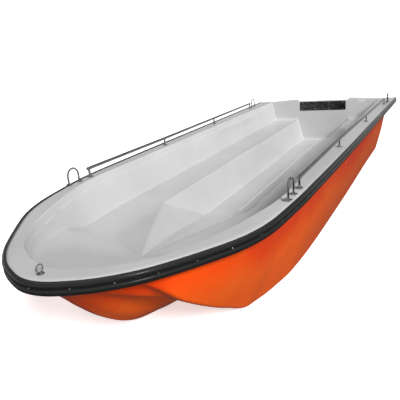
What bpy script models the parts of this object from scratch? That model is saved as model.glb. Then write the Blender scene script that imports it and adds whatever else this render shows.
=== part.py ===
"""An open rescue boat in moulded plastic: a three-lobed orange hull, a white liner with two
side benches around a footwell, a black rub rail, stainless handrails, lifting bolts and
motor plates. Metres, +Z up. The bow points to -Y, port is +X, and the boat stands on its
keel and side lobes at Z = 0."""

import math

import bmesh
import bpy
from mathutils import Vector

# Driving dimensions. A station is a distance aft of a line just ahead of the rub rail.
LENGTH = 5.305
FOREMOST_STATION = 0.030
GUNWALE_Z = 0.680
BENCH_Z = 0.420
SOLE_Z = 0.140
BOW_DIP = 0.045
BOW_DIP_STATIONS = (0.20, 1.50)
GAP = 0.0003
CUTTER_REACH = 0.080
SKIN = 0.008

# Plan of the liner's flange: station and half-breadth of its outer and inner edges
FLANGE_OUTER = (
    (0.048, 0.000), (0.055, 0.060), (0.078, 0.125), (0.130, 0.228), (0.200, 0.322),
    (0.300, 0.422), (0.500, 0.573), (0.660, 0.676), (0.820, 0.737), (1.000, 0.768),
    (1.310, 0.800), (2.310, 0.837), (3.510, 0.868), (4.710, 0.900), (5.335, 0.915),
)
FLANGE_INNER = (
    (0.155, 0.000), (0.165, 0.070), (0.225, 0.210), (0.340, 0.365), (0.510, 0.490),
    (0.760, 0.600), (0.947, 0.660), (1.100, 0.695), (1.310, 0.712), (2.310, 0.715),
    (5.260, 0.733),
)
LINER_FLANGE = 0.012
HULL_FLANGE = 0.040
FLANGE_CROWN = 0.0096
FLANGE_CROWN_WIDTH = 0.035
CROWN_MOST = 0.8
FRONT_CROWN = 0.9
FLANGE_CORE = 0.2

# Hull lines: station, then a height above the base or a half-breadth
KEEL_Z = (
    (0.063, 0.572), (0.112, 0.540), (0.191, 0.480), (0.281, 0.377), (0.396, 0.258),
    (0.533, 0.150), (0.655, 0.088), (0.796, 0.050), (0.900, 0.026), (1.110, 0.004),
    (1.300, 0.000), (5.310, 0.000),
)
SPONSON_Z = (
    (0.063, 0.576), (0.240, 0.570), (0.476, 0.377), (0.661, 0.246), (0.829, 0.142),
    (1.090, 0.012), (1.250, 0.000), (5.310, 0.000),
)
TUNNEL_Z = (
    (0.063, 0.576), (0.150, 0.545), (0.230, 0.510), (0.300, 0.470), (0.400, 0.415),
    (0.510, 0.370), (0.810, 0.270), (1.310, 0.170), (2.310, 0.100), (3.310, 0.070),
    (5.310, 0.065),
)
LOBE_X = (
    (0.063, 0.005), (0.230, 0.020), (0.476, 0.022), (0.800, 0.035), (1.090, 0.080),
    (2.000, 0.150), (5.310, 0.160),
)
TUNNEL_INNER_X = ((0.063, 0.030), (0.230, 0.160), (0.476, 0.200), (1.090, 0.240), (5.310, 0.250))
TUNNEL_OUTER_X = ((0.063, 0.045), (0.230, 0.260), (0.476, 0.320), (1.090, 0.360), (5.310, 0.390))
SPONSON_X = ((0.063, 0.055), (0.230, 0.310), (0.476, 0.395), (1.090, 0.420), (5.310, 0.430))
CHINE_X = (
    (0.063, 0.065), (0.230, 0.350), (0.476, 0.455), (0.829, 0.490), (1.090, 0.510),
    (1.310, 0.560), (1.580, 0.610), (1.975, 0.637), (2.590, 0.654), (3.480, 0.670),
    (4.460, 0.680), (5.310, 0.697),
)
STEM_START = 0.076
STEM_LIP = 0.0010
STEM_DEPTH = 0.005
OVERHANG = ((0.063, 0.030), (2.310, 0.038), (5.310, 0.092))
HULL_STATIONS = (
    0.071, 0.100, 0.118, 0.150, 0.175, 0.228, 0.260, 0.345, 0.420, 0.580, 0.890, 0.940,
    1.100, 1.200, 1.400, 1.600, 1.800,
)

# The most of a section's half-breadth that each line may take where the bow narrows
SIDE_LEAST = 0.60
LOBE_MOST = 0.20
TUNNEL_INNER_MOST = 0.50
TUNNEL_OUTER_MOST = 0.66
SPONSON_MOST = 0.78
CHINE_MOST = 0.92

# Rounding of a section: the rise at a lobe's edge, and shares of a breadth or a height
LOBE_ROLL = 0.006
LOBE_FLAT = 0.50
FLARE_RISE = 0.30
SPONSON_FLAT = 0.25
SIDE_KNUCKLE_OUT = 0.55
SIDE_KNUCKLE_UP = 0.45
DECK_CORE = 0.50

# Liner lines: the side walls' foot, the bow dish and the footwell
TRANSOM_INNER = 5.260
TRANSOM_OUTER = 5.310
WALL_SLOPE = 0.055
WALL_FOOT_Z = (
    (0.155, 0.605), (0.220, 0.580), (0.340, 0.568), (0.510, 0.562), (0.690, 0.550),
    (0.840, 0.515), (0.940, 0.468), (1.060, BENCH_Z), (5.260, BENCH_Z),
)
DISH_Z = ((0.155, 0.590), (0.255, 0.540), (0.500, 0.478), (0.800, BENCH_Z), (5.260, BENCH_Z))
WELL_START = 0.800
WELL_EDGE_X = ((0.800, 0.004), (1.580, 0.345), (5.260, 0.345))
WELL_FOOT_X = ((0.800, 0.002), (2.090, 0.275), (5.260, 0.280))
WELL_FLOOR_Z = ((0.800, BENCH_Z), (2.090, SOLE_Z), (5.260, SOLE_Z))
LINER_STATIONS = (
    0.163, 0.185, 0.225, 0.275, 0.340, 0.420, 0.510, 0.600, 0.690, 0.800, 0.860, 0.940,
    1.060, 1.200, 1.310, 1.580, 1.830, 2.090, 2.900, 4.100, 5.260,
)

# Shares of the rim's, wall foot's or bench edge's half-breadth where the bow narrows
WALL_FOOT_LEAST = 0.80
BENCH_EDGE_MOST = 0.55
BOW_CREASE = 0.50
SOLE_EDGE_MOST = 0.85
BENCH_KNUCKLE = 0.30

# Transom top: the notch for the motor and the shoulders beside it
NOTCH_HALF = 0.330
NOTCH_DEPTH = 0.200
NOTCH_CLEARANCE = 0.100
SHOULDER_INNER_X = 0.350
SHOULDER_OUTER_X = 0.800
SHOULDER_RISE = 0.024
SHOULDER_END_DROP = 0.002
SHOULDER_INSETS = (0.006, 0.004)
NOTCH_RECESS = 0.001
PLATE_HALF = 0.310
PLATE_HEIGHT = 0.120
PLATE_THICKNESS = 0.004
PLATE_TOP_DROP = 0.010

# Rub rail profile, outward from the flange's edge and down from its top
RAIL_PROFILE = (
    (-0.0040, 0.000), (0.0060, 0.001), (0.0150, -0.006), (0.0180, -0.016), (0.0130, -0.026),
    (0.0130, -0.032), (0.0180, -0.042), (0.0150, -0.054), (0.0060, -0.062), (-0.0090, -0.062),
    (-0.0090, -0.0545), (0.0003, -0.0545), (0.0003, -0.0055), (-0.0040, -0.0055),
)

# Stainless fittings: station and half-breadth of each seat on the flange
POST_SEATS = ((1.310, 0.750), (2.363, 0.768), (3.489, 0.805), (4.689, 0.841))
LIFTING_SEATS = (("bow", 1.148, 0.750), ("stern", 4.871, 0.862))
HANDRAIL_Z = 0.060
HANDRAIL_RADIUS = 0.0115
HANDRAIL_END = 0.020
POST_RADIUS = 0.0085
POST_FLANGE_RADIUS = 0.022
POST_FLANGE_HEIGHT = 0.004
POST_SINK = 0.001
LIFTING_SPACING = 0.100
LIFTING_TOP = 0.108
LIFTING_RADIUS = 0.0055
LIFTING_ARCH_STEPS = 12
FOOT_WIDTH = 0.046
FOOT_LENGTH = 0.020
FOOT_HEIGHT = 0.004
BOW_EYE_STATION = 0.108
BOW_EYE_MAJOR = 0.017
BOW_EYE_MINOR = 0.0035
BOW_EYE_PLATE_RADIUS = 0.017
BOW_EYE_PLATE_HEIGHT = 0.004
EYE_SEGMENTS = (32, 12)
CYLINDER_SEGMENTS = 24
TUBE_RESOLUTION = 2

# Colours as linear RGB, roughness and metallic value
ORANGE = ((0.76, 0.105, 0.012), 0.16, 0.0)
WHITE = ((0.80, 0.80, 0.82), 0.18, 0.0)
BLACK = ((0.012, 0.012, 0.012), 0.35, 0.0)
STEEL = ((0.62, 0.62, 0.63), 0.16, 1.0)


def world_y(station):
    return station - FOREMOST_STATION - LENGTH / 2


def station_of(y):
    return y + FOREMOST_STATION + LENGTH / 2


def faired(table):
    """A smooth function through the table's points that never swings past them."""
    xs = [point[0] for point in table]
    ys = [point[1] for point in table]
    slopes = [(ys[i + 1] - ys[i]) / (xs[i + 1] - xs[i]) for i in range(len(xs) - 1)]
    tangents = [slopes[0]]
    for before, after in zip(slopes, slopes[1:]):
        tangents.append(2 * before * after / (before + after) if before * after > 0 else 0.0)
    tangents.append(slopes[-1])

    def value(x):
        x = min(max(x, xs[0]), xs[-1])
        i = max(k for k in range(len(xs) - 1) if xs[k] <= x or k == 0)
        width = xs[i + 1] - xs[i]
        t = (x - xs[i]) / width
        return (
            ys[i] * (1 + 2 * t) * (1 - t) ** 2
            + ys[i + 1] * t * t * (3 - 2 * t)
            + width * tangents[i] * t * (1 - t) ** 2
            - width * tangents[i + 1] * t * t * (1 - t)
        )

    return value


def straight(table):
    """The function that joins the table's points with straight lines."""

    def value(x):
        x = min(max(x, table[0][0]), table[-1][0])
        for (x0, y0), (x1, y1) in zip(table, table[1:]):
            if x <= x1:
                return y0 + (y1 - y0) * (x - x0) / (x1 - x0)
        return table[-1][1]

    return value


def plan_curve(points, steps):
    """Points along a smooth plan curve through (station, half-breadth) points."""
    ends = [(points[1][0], -points[1][1])] + list(points)
    last, before = points[-1], points[-2]
    ends.append((2 * last[0] - before[0], 2 * last[1] - before[1]))
    curve = []
    for p0, p1, p2, p3 in zip(ends, ends[1:], ends[2:], ends[3:]):
        chord = math.dist(p1, p2)
        entry = [(p2[k] - p0[k]) * chord / (math.dist(p0, p1) + chord) for k in (0, 1)]
        leave = [(p3[k] - p1[k]) * chord / (math.dist(p2, p3) + chord) for k in (0, 1)]
        for step in range(steps):
            t = step / steps
            basis = (
                (1 + 2 * t) * (1 - t) ** 2, t * (1 - t) ** 2,
                t * t * (3 - 2 * t), -t * t * (1 - t),
            )
            curve.append(tuple(
                basis[0] * p1[k] + basis[1] * entry[k] + basis[2] * p2[k] + basis[3] * leave[k]
                for k in (0, 1)
            ))
    curve.append(tuple(last))
    return curve


outer_curve = plan_curve(FLANGE_OUTER, 5)
outer_x = straight(outer_curve)
inner_x = faired(FLANGE_INNER)
keel_z = faired(KEEL_Z)
sponson_z = faired(SPONSON_Z)
tunnel_z = faired(TUNNEL_Z)
lobe_x = faired(LOBE_X)
tunnel_inner_x = faired(TUNNEL_INNER_X)
tunnel_outer_x = faired(TUNNEL_OUTER_X)
sponson_x = faired(SPONSON_X)
chine_x = faired(CHINE_X)
overhang = faired(OVERHANG)
wall_foot_z = faired(WALL_FOOT_Z)
dish_z = faired(DISH_Z)
well_edge_x = straight(WELL_EDGE_X)
well_foot_x = straight(WELL_FOOT_X)
well_floor_z = straight(WELL_FLOOR_Z)


def deck_z(station):
    """The height of the flange's top, which dips a little at the bow."""
    start, end = BOW_DIP_STATIONS
    t = min(max((end - station) / (end - start), 0.0), 1.0)
    return GUNWALE_Z - BOW_DIP * t * t * (3 - 2 * t)


def new_collection(name):
    group = bpy.data.collections.new(name)
    bpy.context.scene.collection.children.link(group)
    return group


def add_object(name, data, group):
    obj = bpy.data.objects.new(name, data)
    group.objects.link(obj)
    return obj


def material(name, look):
    colour, roughness, metallic = look
    mat = bpy.data.materials.new(name)
    mat.use_nodes = True
    shader = mat.node_tree.nodes["Principled BSDF"]
    shader.inputs["Base Color"].default_value = (*colour, 1.0)
    shader.inputs["Roughness"].default_value = roughness
    shader.inputs["Metallic"].default_value = metallic
    mat.diffuse_color = (*colour, 1.0)
    return mat


def loft(name, rings, group):
    """A closed body through rings of equal length, with a face over each end. The second
    half of a ring mirrors the first, and so do the diagonals of its faces."""
    bm = bmesh.new()
    rows = [[bm.verts.new(point) for point in ring] for ring in rings]
    count = len(rows[0])
    for first, second in zip(rows, rows[1:]):
        for i in range(count):
            j = (i + 1) % count
            if i < count // 2:
                bm.faces.new((first[i], first[j], second[j]))
                bm.faces.new((first[i], second[j], second[i]))
            else:
                bm.faces.new((first[i], first[j], second[i]))
                bm.faces.new((first[j], second[j], second[i]))
    bm.faces.new(rows[0][::-1])
    bm.faces.new(rows[-1])
    bmesh.ops.recalc_face_normals(bm, faces=bm.faces)
    bmesh.ops.triangulate(bm, faces=bm.faces)
    mesh = bpy.data.meshes.new(name)
    bm.to_mesh(mesh)
    bm.free()
    return add_object(name, mesh, group)


def box(name, low, high, group):
    bm = bmesh.new()
    bmesh.ops.create_cube(bm, size=1.0)
    centre = [(a + b) / 2 for a, b in zip(low, high)]
    size = [b - a for a, b in zip(low, high)]
    bmesh.ops.scale(bm, vec=size, verts=bm.verts)
    bmesh.ops.translate(bm, vec=centre, verts=bm.verts)
    mesh = bpy.data.meshes.new(name)
    bm.to_mesh(mesh)
    bm.free()
    return add_object(name, mesh, group)


def helper(obj):
    obj.hide_render = True
    obj.display_type = "WIRE"
    return obj


def boolean(obj, other, operation):
    modifier = obj.modifiers.new(f"{operation.title()} {other.name}", "BOOLEAN")
    modifier.operation = operation
    modifier.solver = "EXACT"
    modifier.object = other


def mirrored_ring(half, station):
    """A ring from half a section: its points run from the centreline outward and up."""
    y = world_y(station)
    port = [Vector((x, y, z)) for x, z in half]
    starboard = [Vector((-x, y, z)) for x, z in reversed(half)]
    return port + starboard


def section_stations():
    """The hull and the liner's flange share their stations, so that their faces run alike."""
    return sorted([station for station, _ in outer_curve[1:]] + list(HULL_STATIONS))


def hull_ring(station):
    """Half of the hull's section, from the keel out to the chine and up around the flange."""
    breadth = outer_x(station)
    side = max(breadth - overhang(station), SIDE_LEAST * breadth)
    flange_top = deck_z(station) - LINER_FLANGE - GAP
    top = flange_top - HULL_FLANGE
    lip = STEM_LIP if station < STEM_START else STEM_DEPTH
    limit = top - lip
    keel = min(keel_z(station), limit - lip) if station >= STEM_START else limit - lip / 2
    sponson = min(sponson_z(station), limit) if station >= STEM_START else limit
    roof = min(max(tunnel_z(station), keel + lip / 2), limit)
    lobe = min(lobe_x(station), LOBE_MOST * side)
    tunnel_inner = min(tunnel_inner_x(station), TUNNEL_INNER_MOST * side)
    tunnel_outer = min(tunnel_outer_x(station), TUNNEL_OUTER_MOST * side)
    inner_chine = min(sponson_x(station), SPONSON_MOST * side)
    chine = min(chine_x(station), CHINE_MOST * side)
    half = (
        (lobe * LOBE_FLAT, keel),
        (lobe, keel + LOBE_ROLL),
        ((lobe + tunnel_inner) / 2, keel + FLARE_RISE * (roof - keel)),
        (tunnel_inner, roof),
        (tunnel_outer, roof),
        (inner_chine, min(sponson + LOBE_ROLL, limit)),
        (inner_chine + SPONSON_FLAT * (chine - inner_chine), sponson),
        (chine, sponson),
        (chine + SIDE_KNUCKLE_OUT * (side - chine), sponson + SIDE_KNUCKLE_UP * (top - sponson)),
        (side, top),
        (breadth, top),
        (breadth, flange_top),
        (breadth * DECK_CORE, flange_top),
    )
    return mirrored_ring(half, station)


def flange_ring(station):
    """A ring of the liner's flange, whose edge is crowned all round, at the bow's front too."""
    breadth = outer_x(station)
    ahead = 1.0 - (station - FLANGE_OUTER[0][0]) / FLANGE_CROWN_WIDTH
    front = FRONT_CROWN * min(max(ahead, 0.0), 1.0)
    bottom = deck_z(station) - LINER_FLANGE
    top = deck_z(station) - FLANGE_CROWN * front
    width = min(FLANGE_CROWN_WIDTH, breadth * CROWN_MOST)
    half = (
        (breadth * FLANGE_CORE, bottom),
        (breadth, bottom),
        (breadth, top - FLANGE_CROWN * (1.0 - front)),
        (breadth - width, top),
        ((breadth - width) / 2, top),
    )
    return mirrored_ring(half, station)


def well_ring(station, grow):
    """A ring of the cockpit's hollow, or of the liner's back when it is grown by the skin."""
    rim = inner_x(station)
    wall_z = wall_foot_z(station) - grow
    slope = WALL_SLOPE / (GUNWALE_Z - BENCH_Z)
    foot = max(rim - slope * (GUNWALE_Z - wall_foot_z(station)), rim * WALL_FOOT_LEAST)
    level = min(dish_z(station), wall_foot_z(station)) - grow
    edge = min(well_edge_x(station), foot * BENCH_EDGE_MOST)
    floor = min(well_floor_z(station), dish_z(station)) - grow
    if station < WELL_START:
        edge = foot * BOW_CREASE
        floor = level
    sole_edge = min(well_foot_x(station), edge * SOLE_EDGE_MOST) + grow
    half = (
        (sole_edge / 2, floor),
        (sole_edge, floor),
        (edge + grow, level),
        ((edge + foot) / 2, level + BENCH_KNUCKLE * (wall_z - level)),
        (foot + grow, wall_z),
        (rim + grow, deck_z(station) - LINER_FLANGE / 2),
        (rim + grow, deck_z(station) + CUTTER_REACH),
    )
    return mirrored_ring(half, station)


def well_body(name, grow, top_cut, group):
    """The hollow, grown on every side but the top. With a top cut it stops below the flange."""
    stations = [LINER_STATIONS[0] - grow] + list(LINER_STATIONS[1:-1]) + [TRANSOM_INNER + grow]
    rings = []
    for station in stations:
        ring = well_ring(min(max(station, LINER_STATIONS[0]), TRANSOM_INNER), grow)
        for point in ring:
            point.y = world_y(station)
            if top_cut:
                point.z = min(point.z, deck_z(station) - LINER_FLANGE / 3)
        rings.append(ring)
    return loft(name, rings, group)


def notch_cutter(group):
    low = (-NOTCH_HALF, world_y(TRANSOM_OUTER - NOTCH_RECESS), GUNWALE_Z - NOTCH_DEPTH)
    high = (
        NOTCH_HALF, world_y(FLANGE_OUTER[-1][0] + NOTCH_CLEARANCE),
        GUNWALE_Z + NOTCH_CLEARANCE,
    )
    return helper(box("cutter_notch", low, high, group))


def shoulder(side, group):
    """A wedge on the transom's top that falls away to the boat's corner."""
    y0 = world_y(TRANSOM_INNER + SHOULDER_INSETS[0])
    y1 = world_y(FLANGE_OUTER[-1][0] - SHOULDER_INSETS[1])
    base = GUNWALE_Z - LINER_FLANGE / 2
    outline = (
        (NOTCH_HALF, base), (SHOULDER_INNER_X, GUNWALE_Z + SHOULDER_RISE),
        (SHOULDER_OUTER_X, GUNWALE_Z - SHOULDER_END_DROP), (SHOULDER_OUTER_X, base),
    )
    rings = [[Vector((side * x, y, z)) for x, z in outline] for y in (y0, y1)]
    return helper(loft(f"joiner_shoulder_{side:+d}", rings, group))


def make_hull(parts, helpers, notch):
    """The hull with its flange. Its thickness is shell, foam and liner bed in one solid."""
    hull = loft("hull", [hull_ring(station) for station in section_stations()], parts)
    boolean(hull, helper(well_body("cutter_liner_bed", SKIN + GAP, False, helpers)), "DIFFERENCE")
    boolean(hull, notch, "DIFFERENCE")
    return hull


def make_liner(parts, helpers, notch):
    liner = loft("liner", [flange_ring(station) for station in section_stations()], parts)
    boolean(liner, helper(well_body("joiner_liner_back", SKIN, True, helpers)), "UNION")
    for side in (1, -1):
        boolean(liner, shoulder(side, helpers), "UNION")
    boolean(liner, helper(well_body("cutter_cockpit", 0.0, False, helpers)), "DIFFERENCE")
    boolean(liner, notch, "DIFFERENCE")
    return liner


def rail_ring(index, path):
    """The rub rail's profile, square to the flange's edge at one point of its plan."""
    before = path[max(index - 1, 0)]
    after = path[min(index + 1, len(path) - 1)]
    along = Vector((after[0] - before[0], after[1] - before[1])).normalized()
    outward = Vector((along.y, -along.x))
    x, y = path[index]
    top = deck_z(station_of(y))
    return [
        Vector((x + outward.x * out, y + outward.y * out, top + down))
        for out, down in RAIL_PROFILE
    ]


def make_rub_rail(parts):
    port = [(breadth, world_y(station)) for station, breadth in outer_curve]
    starboard = [(-x, y) for x, y in reversed(port[1:])]
    path = starboard + port
    return loft("rub_rail", [rail_ring(i, path) for i in range(len(path))], parts)


def tube(name, points, radius, group):
    curve = bpy.data.curves.new(name, "CURVE")
    curve.dimensions = "3D"
    curve.bevel_depth = radius
    curve.bevel_resolution = TUBE_RESOLUTION
    curve.use_fill_caps = True
    spline = curve.splines.new("POLY")
    spline.points.add(len(points) - 1)
    for point, place in zip(spline.points, points):
        point.co = (*place, 1.0)
    return add_object(name, curve, group)


def cylinder(name, radius, low, high, group):
    """An upright cylinder whose own origin is at the middle of its foot."""
    bm = bmesh.new()
    bmesh.ops.create_cone(
        bm, cap_ends=True, segments=CYLINDER_SEGMENTS, radius1=radius, radius2=radius,
        depth=high - low,
    )
    bmesh.ops.translate(bm, vec=(0, 0, (high - low) / 2), verts=bm.verts)
    mesh = bpy.data.meshes.new(name)
    bm.to_mesh(mesh)
    bm.free()
    obj = add_object(name, mesh, group)
    obj.location.z = low
    return obj


def make_handrail(side, side_name, parts, helpers):
    points = [
        (side * breadth, world_y(station), GUNWALE_Z + HANDRAIL_Z)
        for station, breadth in POST_SEATS
    ]
    points[0] = (points[0][0], points[0][1] - HANDRAIL_END, points[0][2])
    points[-1] = (points[-1][0], points[-1][1] + HANDRAIL_END, points[-1][2])
    made = [tube(f"handrail_{side_name}", points, HANDRAIL_RADIUS, parts)]
    for number, (station, breadth) in enumerate(POST_SEATS, start=1):
        name = f"handrail_post_{side_name}_{number}"
        foot = GUNWALE_Z + GAP
        top = GUNWALE_Z + HANDRAIL_Z - HANDRAIL_RADIUS - 2 * GAP
        post = cylinder(name, POST_FLANGE_RADIUS, foot, foot + POST_FLANGE_HEIGHT, parts)
        stem = cylinder(f"joiner_{name}", POST_RADIUS, foot + POST_SINK, top, helpers)
        for obj in (post, stem):
            obj.location.x = side * breadth
            obj.location.y = world_y(station)
        boolean(post, helper(stem), "UNION")
        made.append(post)
    return made


def make_lifting_bolt(side, side_name, end_name, station, breadth, parts):
    """An arched bar in the fore-and-aft plane with a foot plate under each leg."""
    half = LIFTING_SPACING / 2
    foot = GUNWALE_Z + FOOT_HEIGHT + 2 * GAP
    spring = GUNWALE_Z + LIFTING_TOP - LIFTING_RADIUS - half
    arch = [(-half, foot), (-half, spring)]
    for step in range(1, LIFTING_ARCH_STEPS):
        turn = math.pi * step / LIFTING_ARCH_STEPS
        arch.append((-half * math.cos(turn), spring + half * math.sin(turn)))
    arch += [(half, spring), (half, foot)]
    points = [(side * breadth, world_y(station) + along, up) for along, up in arch]
    made = [tube(f"lifting_bolt_{end_name}_{side_name}", points, LIFTING_RADIUS, parts)]
    for leg, leg_name in ((-half, "fore"), (half, "aft")):
        centre = (side * breadth, world_y(station) + leg)
        low = (centre[0] - FOOT_WIDTH / 2, centre[1] - FOOT_LENGTH / 2, GUNWALE_Z + GAP)
        high = (
            centre[0] + FOOT_WIDTH / 2, centre[1] + FOOT_LENGTH / 2,
            GUNWALE_Z + GAP + FOOT_HEIGHT,
        )
        made.append(box(f"lifting_foot_{end_name}_{side_name}_{leg_name}", low, high, parts))
    return made


def make_bow_eye(parts):
    base = deck_z(BOW_EYE_STATION) + GAP
    plate = cylinder(
        "bow_eye_plate", BOW_EYE_PLATE_RADIUS, base, base + BOW_EYE_PLATE_HEIGHT, parts
    )
    plate.location.y = world_y(BOW_EYE_STATION)
    bpy.ops.mesh.primitive_torus_add(
        major_segments=EYE_SEGMENTS[0], minor_segments=EYE_SEGMENTS[1],
        major_radius=BOW_EYE_MAJOR, minor_radius=BOW_EYE_MINOR,
        rotation=(0.0, math.pi / 2, 0.0),
    )
    ring = bpy.context.active_object
    ring.name = "bow_eye_ring"
    ring.location = (
        0.0, world_y(BOW_EYE_STATION),
        base + BOW_EYE_PLATE_HEIGHT + GAP + BOW_EYE_MAJOR + BOW_EYE_MINOR,
    )
    for group in list(ring.users_collection):
        group.objects.unlink(ring)
    parts.objects.link(ring)
    return [plate, ring]


def make_motor_plates(parts):
    top = GUNWALE_Z - PLATE_TOP_DROP
    inner_face = world_y(TRANSOM_INNER) - GAP
    outer_face = world_y(TRANSOM_OUTER - NOTCH_RECESS) + GAP
    inner = box(
        "motor_plate_inner", (-PLATE_HALF, inner_face - PLATE_THICKNESS, top - PLATE_HEIGHT),
        (PLATE_HALF, inner_face, top), parts,
    )
    outer = box(
        "motor_plate_outer", (-PLATE_HALF, outer_face, top - PLATE_HEIGHT),
        (PLATE_HALF, outer_face + PLATE_THICKNESS, top), parts,
    )
    return [inner, outer]


def main():
    for obj in list(bpy.data.objects):
        bpy.data.objects.remove(obj)
    parts = new_collection("rescue_boat")
    helpers = new_collection("construction")
    helpers.hide_render = True
    notch = notch_cutter(helpers)

    hull = make_hull(parts, helpers, notch)
    hull.data.materials.append(material("orange_gelcoat", ORANGE))
    liner = make_liner(parts, helpers, notch)
    liner.data.materials.append(material("white_gelcoat", WHITE))
    rub_rail = make_rub_rail(parts)
    rub_rail.data.materials.append(material("black_rubber", BLACK))

    fittings = make_bow_eye(parts) + make_motor_plates(parts)
    for side, side_name in ((1, "port"), (-1, "starboard")):
        fittings += make_handrail(side, side_name, parts, helpers)
        for end_name, station, breadth in LIFTING_SEATS:
            fittings += make_lifting_bolt(side, side_name, end_name, station, breadth, parts)
    for fitting in fittings:
        fitting.data.materials.append(material(f"stainless_{fitting.name}", STEEL))


main()
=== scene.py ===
import math

import bmesh
import bpy
import numpy as np
from mathutils import Matrix, Vector


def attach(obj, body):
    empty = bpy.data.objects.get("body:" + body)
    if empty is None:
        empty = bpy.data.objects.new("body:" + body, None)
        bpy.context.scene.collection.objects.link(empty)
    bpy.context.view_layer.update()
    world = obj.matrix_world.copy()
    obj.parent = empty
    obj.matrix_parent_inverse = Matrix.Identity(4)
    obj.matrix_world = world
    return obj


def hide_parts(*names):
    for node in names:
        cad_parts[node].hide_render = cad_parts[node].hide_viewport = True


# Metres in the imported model's frame: +X port, +Y aft, +Z up. A station is a distance aft.
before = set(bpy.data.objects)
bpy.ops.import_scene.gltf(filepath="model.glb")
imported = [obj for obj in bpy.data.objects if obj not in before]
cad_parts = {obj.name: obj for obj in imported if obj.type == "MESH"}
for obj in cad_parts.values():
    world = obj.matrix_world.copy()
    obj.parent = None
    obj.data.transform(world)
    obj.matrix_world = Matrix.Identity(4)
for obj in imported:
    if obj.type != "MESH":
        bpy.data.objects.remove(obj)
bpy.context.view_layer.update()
ROOT = "root"

# A direction that no bar runs along, to start the rings of a tube from
SLANT = (0.31, 0.17, 0.93)
# The colour sockets of a mix node: two inputs and the output
MIX_A, MIX_B, MIX_RESULT = 6, 7, 2

LENGTH = 5.305
FOREMOST_STATION = 0.030
GUNWALE_Z = 0.680
BENCH_DROP = 0.260
SOLE_DROP = 0.540
BOW_DIP = 0.045
BOW_DIP_STATIONS = (0.20, 1.50)

# Lines of the boat: station, then a half-breadth or a height above the base
FLANGE_OUTER = (
    (0.048, 0.000), (0.055, 0.060), (0.078, 0.125), (0.130, 0.228), (0.200, 0.322),
    (0.300, 0.422), (0.500, 0.573), (0.660, 0.676), (0.820, 0.737), (1.000, 0.768),
    (1.310, 0.800), (2.310, 0.837), (3.510, 0.868), (4.710, 0.900), (5.335, 0.915),
)
FLANGE_INNER = (
    (0.155, 0.000), (0.165, 0.070), (0.225, 0.210), (0.340, 0.365), (0.510, 0.490),
    (0.760, 0.600), (0.947, 0.660), (1.100, 0.695), (1.310, 0.712), (2.310, 0.715),
    (5.260, 0.733),
)
KEEL_Z = (
    (0.063, 0.572), (0.112, 0.540), (0.191, 0.480), (0.281, 0.377), (0.396, 0.258),
    (0.533, 0.150), (0.655, 0.088), (0.796, 0.050), (0.900, 0.026), (1.110, 0.004),
    (1.300, 0.000), (5.310, 0.000),
)
SPONSON_Z = (
    (0.063, 0.576), (0.240, 0.570), (0.476, 0.377), (0.661, 0.246), (0.829, 0.142),
    (1.090, 0.012), (1.250, 0.000), (5.310, 0.000),
)
TUNNEL_Z = (
    (0.063, 0.576), (0.150, 0.545), (0.230, 0.510), (0.300, 0.470), (0.400, 0.415),
    (0.510, 0.370), (0.810, 0.270), (1.310, 0.170), (2.310, 0.100), (3.310, 0.070),
    (5.310, 0.065),
)
LOBE_X = (
    (0.063, 0.005), (0.230, 0.020), (0.476, 0.022), (0.800, 0.035), (1.090, 0.080),
    (2.000, 0.150), (5.310, 0.160),
)
TUNNEL_INNER_X = ((0.063, 0.030), (0.230, 0.160), (0.476, 0.200), (1.090, 0.240), (5.310, 0.250))
TUNNEL_OUTER_X = ((0.063, 0.045), (0.230, 0.260), (0.476, 0.320), (1.090, 0.360), (5.310, 0.390))
SPONSON_X = ((0.063, 0.055), (0.230, 0.310), (0.476, 0.395), (1.090, 0.420), (5.310, 0.430))
CHINE_X = (
    (0.063, 0.065), (0.230, 0.350), (0.476, 0.455), (0.829, 0.490), (1.090, 0.510),
    (1.310, 0.560), (1.580, 0.610), (1.975, 0.637), (2.590, 0.654), (3.480, 0.670),
    (4.460, 0.680), (5.310, 0.697),
)
OVERHANG = ((0.063, 0.030), (2.310, 0.038), (5.310, 0.092))
STEM_START = 0.076
STEM_LIP = 0.001
HULL_LIP = 0.005
LINER_FLANGE = 0.012
HULL_FLANGE = 0.040
GAP = 0.0003
FLANGE_CROWN = 0.0096
FLANGE_CROWN_WIDTH = 0.035
TRANSOM_INNER = 5.260
TRANSOM_OUTER = 5.310
FLANGE_END = 5.335

# Hull section: how its corners lie between those lines and how far they are rounded
LEAST_SIDE_SHARE = 0.60
LOBE_SHOULDER = 0.30
SPONSON_TILT = 0.002
KNUCKLE_OUT = 0.55
KNUCKLE_UP = 0.45
FLANGE_REACH = 0.015
FLANGE_REACH_LIMIT = 0.95
SECTION_RADII = (0.0, 0.09, 0.12, 0.06, 0.06, 0.045, 0.022, 0.10, 0.008, 0.003, 0.003, 0.0)
CORNER_POINTS = 7
CORNER_LIMIT = 0.45
TINY = 1e-9
HULL_BOW_STATION = 0.0492
HULL_BOW_RUN = 1.25
HULL_BOW_ROWS = 70
HULL_BOW_CROWDING = 1.5
HULL_AFT_START = 1.32
HULL_AFT_ROWS = 64
TRANSOM_ROUND = 0.012
TRANSOM_ROUND_START = 0.030
STERN_LIP_BED = 0.004
STERN_LIP_ROUND = 0.003
STERN_LIP_SIDE_GAP = 0.001

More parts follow.
